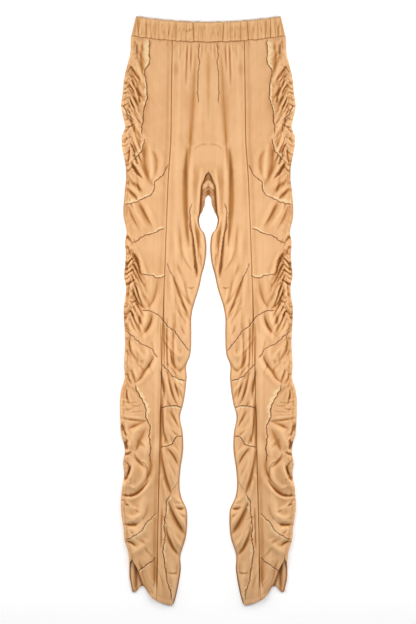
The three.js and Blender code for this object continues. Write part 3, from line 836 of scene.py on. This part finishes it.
def jersey(name, light, shade, veined=True, rib=0.0009, within=False):
    material, tree, shader = new_material(name)
    where = tree.nodes.new("ShaderNodeUVMap").outputs["UV"]
    cloudy = band_node(tree, noise_node(tree, where, CLOUDS, 3), 0.35, 0.65, 0.0, 0.16)
    stretched = new_node(tree, "Mapping", {"Vector": where, "Scale": STREAKS}).outputs[0]
    streaks = band_node(tree, noise_node(tree, stretched, 1, 3), 0.4, 0.7, 0.0, 0.11)
    hollow = stored(tree, "hollow")
    if within:
        hollow = plus(tree, hollow, stored(tree, "hollow_within"))
    # Random tone and painted shade both mix towards the shade colour
    depth = times(tree, hollow, 0.9, clamp=True)
    colour = mix_colour(tree, plus(tree, cloudy, streaks, depth, clamp=True), light, shade)
    # Painted highlight over the ridges and in broad patches
    crest = times(tree, stored(tree, "crest"), 0.5, clamp=True)
    colour = mix_colour(tree, crest, colour, PAINTED_HIGHLIGHT)
    # Painted deep shade in the deepest creases
    deep = band_node(tree, hollow, 0.85, 1.7, 0.0, 0.85)
    colour = mix_colour(tree, deep, colour, PAINTED_DEEP_SHADE)
    if veined:
        colour = vein_looks(tree, where, colour)
    set_inputs(tree, shader, {
        "Base Color": colour, "Normal": knit_bump(tree, where, rib), "Roughness": 0.58,
        "Specular IOR Level": 0.22, "Sheen Weight": 0.08, "Sheen Roughness": 0.45,
        "Sheen Tint": (1.0, 0.86, 0.7)})
    print("material:", name)
    return material


FRONT_JERSEY = jersey("printed jersey, front", linear(215, 168, 121), linear(174, 116, 57))
BACK_JERSEY = jersey("printed jersey, back", linear(211, 164, 117), linear(168, 112, 55))
# The wrong side is painted darker, as shade inside the garment, and has no print
INSIDE_JERSEY = jersey("jersey, wrong side", linear(197, 147, 103), linear(156, 104, 57),
                       veined=False, within=True)
BAND_JERSEY = jersey("gathered jersey", linear(211, 164, 114), linear(170, 114, 57),
                     veined=False, rib=0.0011)


# %% [markdown]
# ## Front panels
# The side panel runs from the ruched side seam to the felled seam. The centre panel
# runs on from there to the centre front, and below the crotch it rolls over the inside
# of the leg and down onto the back. The felled seam is a strip of folded cloth beside a
# sharp seam line, so the height has a low ridge with a groove at its edge.

# %% Relief of the seams and the hem
def seam_relief(d, down):
    from_seam = d - front_seam(down)
    strip = 0.7 * ease(-0.5, 2.0, from_seam) * ease(10.5, 7.0, from_seam)
    return strip - bell(from_seam, 1.1) - 0.3 * bell(from_seam - FELL, 1.1)


def hem_relief(row, d, hem):
    from_hem = read(hem, d) - down_at(row, d, hem)
    return 0.5 * ease(HEM_FOLD + 1.5, HEM_FOLD, from_hem) - 0.4 * bell(from_hem - HEM_FOLD, 1.3)


# Shade beside the ruched seam, and where the back turns over the outer edge, by row
RUCHED_SHADE = [
    (42, 0), (200, 0), (222, -0.2), (244, 0), (445, 0), (480, 0.7), (510, 0.7), (535, 0.2),
    (572, 0.1), (600, -0.3), (625, -0.1), (650, 0.1), (680, -0.1), (728, 0.25), (770, 0),
    (1148, 0)]
TURNED_SHADE = [
    (42, 0.2), (250, 0.2), (300, 0.95), (400, 0.95), (505, 0.95), (530, 0.3), (553, 0.4),
    (575, 1.05), (600, 0.8), (650, 0.4), (690, 0.5), (720, 0.3), (770, 0.5), (845, 1.15),
    (880, 0.4), (1148, 0.3)]


def ruched_shade(d, down):
    inward = side_seam(down) - d
    shade = 0.3 * read(GATHER_STRENGTH, down) + read(RUCHED_SHADE, down)
    return shade * bell(inward - 3, 9)


# Soft shade, or light where it is minus, painted where the render was paler or darker
# than the photo, with no form under it: place, reach across and down, strength
BROAD_SHADES = [
    (162, 378, 8, 14, 0.35), (125, 160, 11, 34, 0.7), (84, 285, 9, 34, 0.2),
    (94, 905, 14, 20, 0.3), (64, 105, 9, 14, 0.45), (25, 325, 9, 30, 0.5), (18, 494, 12, 14, 0.5),
    (123, 1118, 9, 14, 0.45), (125, 262, 10, 16, 0.5), (103, 1020, 10, 40, 0.22),
    (138, 985, 20, 42, -0.9), (140, 612, 10, 16, -0.6), (140, 692, 10, 18, -0.5),
    (142, 225, 9, 20, -0.7), (102, 660, 10, 70, -0.4), (103, 1118, 12, 16, -0.6),
    (84, 1000, 9, 16, -0.7), (45, 455, 9, 16, -0.6), (45, 962, 9, 14, -0.8),
    (108, 838, 16, 16, -0.8),
]


def broad_shade(d, down):
    return sum(strength * bell(d - place, across) * bell(down - middle, along)
               for place, middle, across, along, strength in BROAD_SHADES)


# Strengths of the painted shade in a fold, along its pressed line and on the fell
IN_FOLD, IN_PRESSED, ON_FELL = 0.45, 0.3, 0.38  # how dark a fold, its line and the fell are


# The painted shade on the fell is darker below the knee, and the painted shade along the seam's
# line is fainter near the hem
def front_values(d, down, folds, pressed):
    offset, ink, glow = vein_values(d, down)
    from_seam = d - front_seam(down)
    strip = ease(-0.5, 0.5, from_seam) * ease(9.5, 6.5, from_seam)
    strip = strip * mix(0.8, 1.5, ease(740, 860, down))
    dark = mix(0.6, 1.05, ease(450, 650, down)) * mix(1, 0.55, ease(975, 1010, down))
    lines = dark * bell(from_seam, 1.0) + 0.25 * bell(from_seam - FELL, 1.0)
    # Painted shade in the folds, on the fell, along the seam's line, by the ruching and in broad
    # patches, and painted light where a broad patch is minus
    hollow = IN_FOLD * np.clip(-folds / 4, 0, 1) + IN_PRESSED * np.clip(pressed / 3, 0, 1.3)
    broad = broad_shade(d, down)
    hollow = hollow + ON_FELL * strip + lines + ruched_shade(d, down) + broad
    return {"vein_offset": offset, "vein_ink": ink, "vein_glow": glow,
            "hollow": np.clip(hollow, 0, 1.4), "crest": np.clip(-broad, 0, 1)}


def front_panel(row, d):
    down = down_at(row, d, FRONT_HEM)
    folds, pressed = front_fold(d, down)
    z = front_height(d, down, folds) + seam_relief(d, down) + hem_relief(row, d, FRONT_HEM)
    return {"d": d, "down": down, "z": z, **front_values(d, down, folds, pressed)}


# %% The side panel's rule, with its columns closer together at both seams
def closer_at_ends(share):
    return share - 0.42 * np.sin(2 * math.pi * share) / (2 * math.pi)


def front_side_rule(across, along):
    row = mix(BAND_DEPTH, LENGTH, along)
    d = mix(front_outer(row), front_seam(row) + CLEAR, closer_at_ends(across))
    return front_panel(row, d)


# %% The centre panel's rule
ROLL_FROM = 0.88
CENTRE_ROLL, ROLL_GROWS = 0.6, 24  # at the centre front, and the rows over which it grows


def front_centre_rule(across, along):
    row = mix(BAND_DEPTH, LENGTH, along)
    fall = ease(FRONT_CROTCH, FRONT_CROTCH + ROLL_GROWS, row)
    roll = mix(CENTRE_ROLL, INNER_ROLL, fall)
    turn = np.clip((across - ROLL_FROM) / (1 - ROLL_FROM), 0, 1) * math.pi / 2
    inner = front_inner(row) + roll
    flat = mix(front_seam(row) - CLEAR, inner, np.clip(across / ROLL_FROM, 0, 1))
    d = flat - roll * np.sin(turn)
    panel = front_panel(row, d)
    z = panel["z"] - 0.25 * (1 - fall) * bell(d, 1.4)
    panel["z"] = mix(z, CLOTH + GAP, fall * (1 - np.cos(turn)))
    # Painted shade where the cloth rolls over the inside of the leg
    panel["hollow"] = np.clip(panel["hollow"] + 0.4 * fall * ease(0.5, 1.5, turn), 0, 1)
    return panel


# %% Make the front panels
make_pair("front_side", front_side_rule, 1, FRONT_JERSEY)
make_pair("front_centre", front_centre_rule, 1, FRONT_JERSEY)

# %% [markdown]
# ## Back panels
# Each back lies flat, wraps over the outside of the leg and meets the front at the
# ruched seam. Between the legs its crotch shows under the front as small gathers. Below
# the top of the slit it lets go of the front and ends in a soft free edge.

# %% The back's rule
ARC_FROM, ARC_TO = 0.36, 0.64
LETS_GO = SLIT_TOP - 16, SLIT_TOP + 34  # rows over which the back lets go of the front
FLAP_WRAP = 0.3  # how much of the turn is left below them
ROLL_GATHER = 2.2  # how far the strongest gathers push the outer edge out
ROLL_SLANT = 9.0  # how far down a gather runs as it turns over the outer edge
PRINT_TURNED = 1190  # the print on the underside runs the other way, from this row
ON_FRONT_FROM = -0.5  # angle of the turn from which the cloth belongs to the front


# Small chevrons between the legs, with one lobe and a dip under the front's crotch
def crotch_gathers(row, d):
    place = ease(302, 325, row) * ease(404, 372, row)
    inside = ease(front_inner(row) - 1, front_inner(row) - 6, d)
    slope = row - (1.3 + 0.5 * np.sin(row / 11)) * d
    chevron = np.abs(np.sin(slope / 2.7 + 0.9 * np.sin(row / 9))) ** 0.9
    gathers = 0.6 + 1.8 * chevron * (0.7 + 0.3 * np.sin(row / 5.3 + d / 3))
    lobe = 1.6 * bell(row - 323 - 0.8 * d, 4)
    dip = 1.2 * bell(d, 3) * bell(row - 345, 5)
    return place * inside * (gathers + lobe - dip)


# Two ridges that open out in the flap below the slit
def flare_folds(row, d):
    open_edge = ease(SLIT_TOP - 6, SLIT_TOP + 16, row)
    ridge = 3.6 * bell(d - 148, 4) + 2.0 * bell(d - 135, 3)
    return open_edge * (ridge * ease(0, 30, LENGTH - row + 12) + 1.6 * hem_relief(row, d, BACK_HEM))


# Shade on the inside of the back, where it shows at the crotch and in the slit
def shade_within(row, d):
    under_edge = ease(7, 0, front_inner(row) - d)
    crotch = (0.9 + 0.6 * under_edge) * ease(300, 312, row) * ease(420, 396, row)
    crotch = crotch + 0.9 * bell(d, 3.5) * bell(row - 344, 7)
    crotch = crotch - 1.1 * bell(row - 325 - 0.8 * d, 4) * ease(16, 10, d)
    slit = 1.4 * ease(5, -2, d - read(SLIT_EDGE, row)) + 0.5 * bell(d - 140, 1.8)
    return crotch + ease(SLIT_TOP, SLIT_TOP + 26, row) * slit


def back_values(row, d, down, angle, rolled, flat):
    on_front = angle > ON_FRONT_FROM
    offset, ink, glow = vein_values(d, np.where(on_front, down, PRINT_TURNED - down))
    ink = ink * np.where(on_front, 1, ease(ON_FRONT_FROM, -1.2, angle))
    on_top, pressed = fold_fields(ALL_FOLDS, d, down)
    folds = rolled * ease(-0.5, 0.5, angle) + np.where(on_front, on_top, 0)
    # Painted shade in the folds, by the ruching, along the turned outer edge and in broad patches;
    # painted shade within, at the crotch and in the slit
    hollow = 0.6 * np.clip(-folds / 4, 0, 1)
    hollow = hollow + np.where(on_front, IN_PRESSED * np.clip(pressed / 3, 0, 1.3), 0)
    turned = read(TURNED_SHADE, row) * bell(outer_edge(row) - d, 4.5)
    hollow = hollow + np.where(flat, 0, turned + ruched_shade(d, row) + broad_shade(d, row))
    within = np.where(flat, shade_within(row, d), 0)
    return {"vein_offset": offset, "vein_ink": ink, "vein_glow": glow,
            "hollow": np.clip(hollow, 0, 1.6), "hollow_within": np.clip(within, 0, 1.6)}


# Flat part, turn round the outer edge, and the strip that comes back to the ruched seam
def back_rule(across, along):
    row = mix(BAND_DEPTH, LENGTH, along)
    seam = side_seam(row)
    wrap = mix(1, FLAP_WRAP, ease(*LETS_GO, row))
    centre = outer_edge(row) - OUTER_ROLL * np.where(wrap < 0.5, np.sin(math.pi * wrap), 1)
    edge_row = np.minimum(row, SLIT_TOP)
    height = front_height(centre, edge_row) / 2
    share = np.clip((across - ARC_FROM) / (ARC_TO - ARC_FROM), 0, 1)
    angle = math.pi * (share * wrap - 0.5)
    strength = read(GATHER_STRENGTH, row)
    rolled = edge_ruche(row - ROLL_SLANT * np.cos(angle))
    ruche = ROLL_GATHER * strength * (rolled + 0.3) * ease(-1.2, 0.3, angle)
    d = centre + (OUTER_ROLL + ruche) * np.cos(angle)
    z = height + (height + 0.4 * ruche) * np.sin(angle)
    flat = across < ARC_FROM
    share_in = np.clip(across / ARC_FROM, 0, 1)
    share_in = mix(share_in**2.4, 1 - (1 - share_in) ** 1.7, ease(500, 900, row))
    d = np.where(flat, mix(back_inner(row), centre, share_in), d)
    z = np.where(flat, crotch_gathers(row, d) + flare_folds(row, d), z)
    z = z + np.where(flat, 0, flare_folds(row, d) * ease(0.2, 0, share))
    strip = ease(0.6, 1, wrap)
    reach = np.clip((across - ARC_TO) / (1 - ARC_TO), 0, 1)
    end_d = mix(d - np.sin(angle), seam + CLEAR, strip)
    top_d = mix(d, end_d, reach)
    top_z = front_height(top_d, edge_row) + 0.8 * np.sin(math.pi * reach) * ease(39, 60, row)
    z = np.where(reach > 0, mix(z + reach * np.cos(angle), top_z, strip), z)
    d = np.where(reach > 0, top_d, d)
    down = down_at(row, d, BACK_HEM)
    return {"d": d, "down": down, "z": z,
            **back_values(row, d, down, angle, rolled * strength, flat),
            "cloth_across": d + (angle + math.pi / 2) * 4}


make_pair("back", back_rule, -1, BACK_JERSEY)

# %% [markdown]
# ## The waistband
# The band is one loop: cloth gathered over elastic. Its gathers are narrow and uneven,
# with a few deep creases, and they die out where it turns over the upper edge. Its grid
# is bent round the flattened loop and its two ends are welded.

# %% The band's rule
BAND_GATHERS = 44
BAND_RUN = 286.0  # along one face of the loop, from turn to turn
BAND_CREASES = [7, 19, 29, 37, 43, 52, 63, 77, 88, 96, 103, 112, 121, 130, 137, 141, 134]


def band_rise(across, share, half):
    d = np.abs(across)
    place = (across / half + 1) / 2 * BAND_GATHERS
    phase = place + 0.45 * np.sin(place * 1.3) + 0.25 * np.sin(place * 3.1 + 1)
    phase = phase + (share - 0.5) * 0.5 * np.sin(place * 0.7)
    gather = 0.45 * np.abs(np.sin(math.pi * phase)) ** 0.6
    gather = gather + 1.3 * (0.42 + uneven_creases(across / 3.7, share * 2.2 + across / 90, 7))
    uneven = 0.5 + 0.35 * np.sin(place * 0.9) + 0.3 * np.sin(place * 2.3 + 2)
    rise = 1.6 * gather * np.clip(uneven, 0.1, 1.2)
    lean = 2.2 * (share - 0.5)
    for number, crease in enumerate(BAND_CREASES):
        depth = 0.4 + 1.1 * ((number * 7) % 5) / 4
        middle = crease + lean * math.sin(number * 2.1)
        rise = rise - depth * bell(np.abs(d - middle), 0.9, 1.3)
    ends = ease(0.0, 0.14, share) * 0.7 + 0.3
    return rise * ends * ease(half + 1, half - 9, d)


# How far the band dips to meet the panels at its foot
def band_tuck(share):
    return 0.9 * ease(0.93, 1.0, share)


# "across" runs along the front, round a turn, back along the underside, and round again
def band_rule(across, share):
    radius = BAND_HEIGHT / 2
    half = mix(BAND_TOP_HALF, BAND_FOOT_HALF, share) - radius
    lengths = [BAND_RUN, math.pi * radius * 1.6] * 2
    corners = np.r_[0, np.cumsum(lengths)] / sum(lengths)
    straight = np.interp(across, corners, [-1, 1, 1, -1, -1])
    angle = math.pi * np.interp(across, corners, [0.5, 0.5, -0.5, -0.5, -1.5])
    front = across < corners[1]
    x = straight * half + radius * np.cos(angle)
    rise = front * band_rise(x, share, half + radius)
    top = 1.2 * ease(0.07, 0.0, share) * front
    foot = band_tuck(share) * front
    z = radius + radius * np.sin(angle) + rise - top - foot
    d = np.abs(x)
    bumps = 0.5 * np.sin(d / 1.9 + 1.6 * np.sin(d / 7)) + 0.3 * np.sin(d / 4.3)
    down = mix(band_top(d) + 0.7 + bumps * ease(0.12, 0.0, share), band_foot(d) - CLEAR, share)
    # Painted shade between the gathers, towards the band's ends and along its sewn foot
    hollow = front * np.clip((0.8 - rise) / 2.9, 0, 1) * ease(0.0, 0.1, share)
    hollow = hollow + 0.45 * ease(half + radius - 16, half + radius - 4, np.abs(x))
    sewn = foot * np.clip(0.55 + 1.5 * uneven_creases(x / 5, share, 9), 0, 1)
    return {"d": x, "down": down, "z": z, "hollow": np.clip(hollow + sewn, 0, 1),
            "cloth_across": across * sum(lengths)}


# %% Make the band and weld its loop
band = make_sheet("cloth_waistband", shape_of("waistband", band_rule), 1, 1,
                  BAND_JERSEY, BAND_JERSEY, BAND_WALL)
bm = bmesh.new()
bm.from_mesh(band.data)
bmesh.ops.remove_doubles(bm, verts=bm.verts, dist=1e-5)
bmesh.ops.recalc_face_normals(bm, faces=bm.faces)
bm.to_mesh(band.data)
bm.free()
sheets["waistband"] = band

# %% [markdown]
# ## Stitches
# Thread runs beside the felled seams, along the waist seam, round the hems and up the
# slits. Each stitch is a small lozenge of thread that lies along its row on the cloth.

# %% Thread and rows of stitches
STITCH, STITCH_STEP, THREAD = 2.4, 3.2, 0.42
POINT_STEP = 2.0  # between the points that a row of stitches follows
SLIT_STITCH, BAND_STITCH = 5.5, 3.2  # from the slit's edge, and above the band's foot


def speckled(name, scale, one, other, looks):
    material, tree, shader = new_material(name)
    speckle = noise_node(tree, tree.nodes.new("ShaderNodeTexCoord").outputs["Object"], scale)
    set_inputs(tree, shader, looks | {"Base Color": mix_colour(tree, speckle, one, other)})
    return material


thread = speckled("thread", 1500, linear(214, 160, 112), linear(236, 186, 138),
                  {"Roughness": 0.4, "Sheen Weight": 0.2})


def stitch_row(bm, side, row_points, height):
    d, down = row_points
    length = np.r_[0, np.cumsum(np.hypot(np.diff(d), np.diff(down)))]
    for s in np.arange(STITCH_STEP, length[-1] - STITCH_STEP, STITCH_STEP):
        both = np.array([s - STITCH / 2, s + STITCH / 2])
        across, along = np.interp(both, length, d), np.interp(both, length, down)
        x, y, z = side * across, LENGTH / 2 - along, height(across, along)
        start, end = (Vector((x[k], y[k], z[k])) for k in (0, 1))
        turn = (end - start).to_track_quat("X", "Z").to_matrix().to_4x4()
        place = Matrix.Translation((start + end) / 2) @ turn
        size = Matrix.Diagonal((STITCH, THREAD, THREAD, 1))
        bmesh.ops.create_icosphere(bm, subdivisions=1, radius=0.5,
                                   matrix=Matrix.Scale(0.001, 4) @ place @ size)


def front_surface(d, down):
    return front_height(d, down) + seam_relief(d, down)


def piece_from(bm, name, material, smooth=True):
    mesh = bpy.data.meshes.new(name)
    bm.to_mesh(mesh)
    bm.free()
    if smooth:
        mesh.shade_smooth()
    mesh.materials.append(material)
    piece = put(name, mesh)
    print(name, len(mesh.polygons), "faces")
    return piece


# %% Stitch the panels of both halves
def along_seam(offset, start, end):
    down = np.arange(start, end, POINT_STEP)
    return front_seam(down) + offset, down


def along_hem(low, high, hem, lift):
    d = np.arange(low, high, POINT_STEP)
    return d, read(hem, d) - lift


def along_slit(lift):
    row = np.arange(SLIT_TOP + 4, LENGTH - 12, POINT_STEP)
    d = front_outer(row) - lift
    return d, down_at(row, d, FRONT_HEM)


stitches = {}
for hand, side in HANDS:
    rows_of = {
        "front_side": [along_seam(FELL, 56, 1128), along_hem(103, 124, FRONT_HEM, HEM_FOLD),
                       along_slit(SLIT_STITCH)],
        "front_centre": [along_hem(74, 99, FRONT_HEM, HEM_FOLD)],
    }
    for part, rows in rows_of.items():
        bm = bmesh.new()
        for row_points in rows:
            stitch_row(bm, side, row_points, front_surface)
        node = f"{part}_{hand}"
        stitches[node] = piece_from(bm, f"stitches_{node}", thread)

# %% Stitch the foot of the band
def band_surface(d, down):
    share = (down - band_top(d)) / (band_foot(d) - CLEAR - band_top(d))
    half = mix(BAND_TOP_HALF, BAND_FOOT_HALF, share)
    return BAND_HEIGHT + band_rise(d, share, half) - band_tuck(share)


bm = bmesh.new()
for side in (1, -1):
    d = np.arange(2, 140, POINT_STEP)
    stitch_row(bm, side, (d, band_foot(d) - BAND_STITCH), band_surface)
stitches["waistband"] = piece_from(bm, "stitches_waistband", thread)

# %% [markdown]
# ## Tie the pieces to the model
# Every sheet replaces its plain solid and rides on the one body.

# %% Ride and replace
for node, sheet in sheets.items():
    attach(sheet, "root")
    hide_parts(node)
    if node in stitches:
        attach(stitches[node], "root")

# %% [markdown]
# ## Floor and light
# The floor is plain and pale. A wide light above fills the scene. A long softbox on each
# side stands low, so the folds of each leg are modelled from its own outer side, as in
# the photo, and one more at the waist end shapes the gathers.

# %% Floor
FLOOR_HALF, FLOOR_DROP = 4.0, 0.0006  # metres, a hair below the cloth

bm = bmesh.new()
bmesh.ops.create_grid(bm, x_segments=1, y_segments=1, size=FLOOR_HALF)
bmesh.ops.translate(bm, verts=bm.verts, vec=(0, 0, -FLOOR_DROP))
paper = speckled("pale paper", 3, (0.93, 0.93, 0.93), (0.96, 0.96, 0.96),
                 {"Roughness": 0.9, "Emission Color": (1, 1, 1), "Emission Strength": 0.14})
floor = piece_from(bm, "floor", paper, smooth=False)


# %% Lights
def softbox(name, place, aim, width, length, power):
    data = bpy.data.lights.new(name, "AREA")
    data.shape = "RECTANGLE"
    data.size, data.size_y = width, length
    data.energy = power
    light = put(name, data)
    light.location = place
    light.rotation_euler = (Vector(aim) - Vector(place)).to_track_quat("-Z", "Y").to_euler()


softbox("light above", (0, 0, 5.2), (0, 0, 0), 3.0, 3.0, 42)
for hand, side in (("left", -1), ("right", 1)):
    softbox(f"light at the {hand}", (0.95 * side, 0.1, 0.5), (0.1 * side, 0, 0), 0.2, 1.9, 14.5)
softbox("light at the waist", (0, 1.7, 1.1), (0, 0.1, 0), 1.4, 0.4, 11)
world = bpy.data.worlds.new("studio")
bpy.context.scene.world = world
world.use_nodes = True
world.node_tree.nodes["Background"].inputs["Color"].default_value = (1, 1, 1, 1)
world.node_tree.nodes["Background"].inputs["Strength"].default_value = 0.16
bpy.context.scene.view_settings.view_transform = "Standard"
